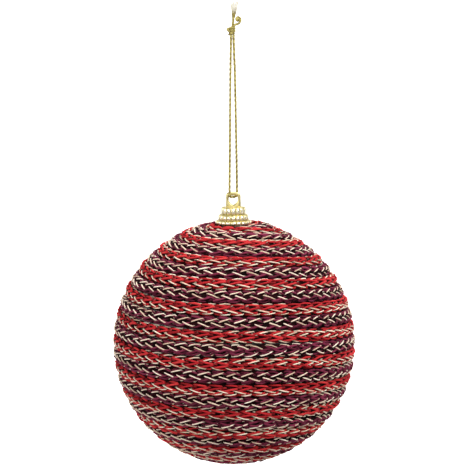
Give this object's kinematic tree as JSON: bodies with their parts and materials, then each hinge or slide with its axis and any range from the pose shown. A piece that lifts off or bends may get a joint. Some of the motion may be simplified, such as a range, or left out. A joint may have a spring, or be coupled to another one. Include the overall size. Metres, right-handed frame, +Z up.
{
  "type": "christmas bauble",
  "caption": "Round hanging christmas bauble wound in a spiral with knitted cords, with a beaded gold cap, an eyelet and a knotted gold thread loop.",
  "frame": {"origin": "hang point, just under the knot inside the top of the thread loop, with the ball below it", "axes": "+Z up along the loop, the cap and the ball's axis; -Y is the front that the picture shows, and the eyelet's hole runs along Y"},
  "size_m": [0.0995, 0.0993, 0.1895],
  "materials": {
    "foam": "white expanded foam, matte",
    "red_yarn": "knitted scarlet and cream yarn, matte",
    "plum_yarn": "knitted plum and cream yarn, matte",
    "cream_yarn": "cream yarn held together with the coloured yarns, matte",
    "gold_plastic": "metallised champagne gold, glossy",
    "gold_thread": "twisted metallic gold thread"
  },
  "bodies": {
    "root": {"foam_ball": "foam", "red_knitted_cord": "red_yarn", "plum_knitted_cord": "plum_yarn", "gold_cap": "gold_plastic", "hanging_thread": "gold_thread", "thread_knot": "gold_thread"}
  },
  "joints": []
}
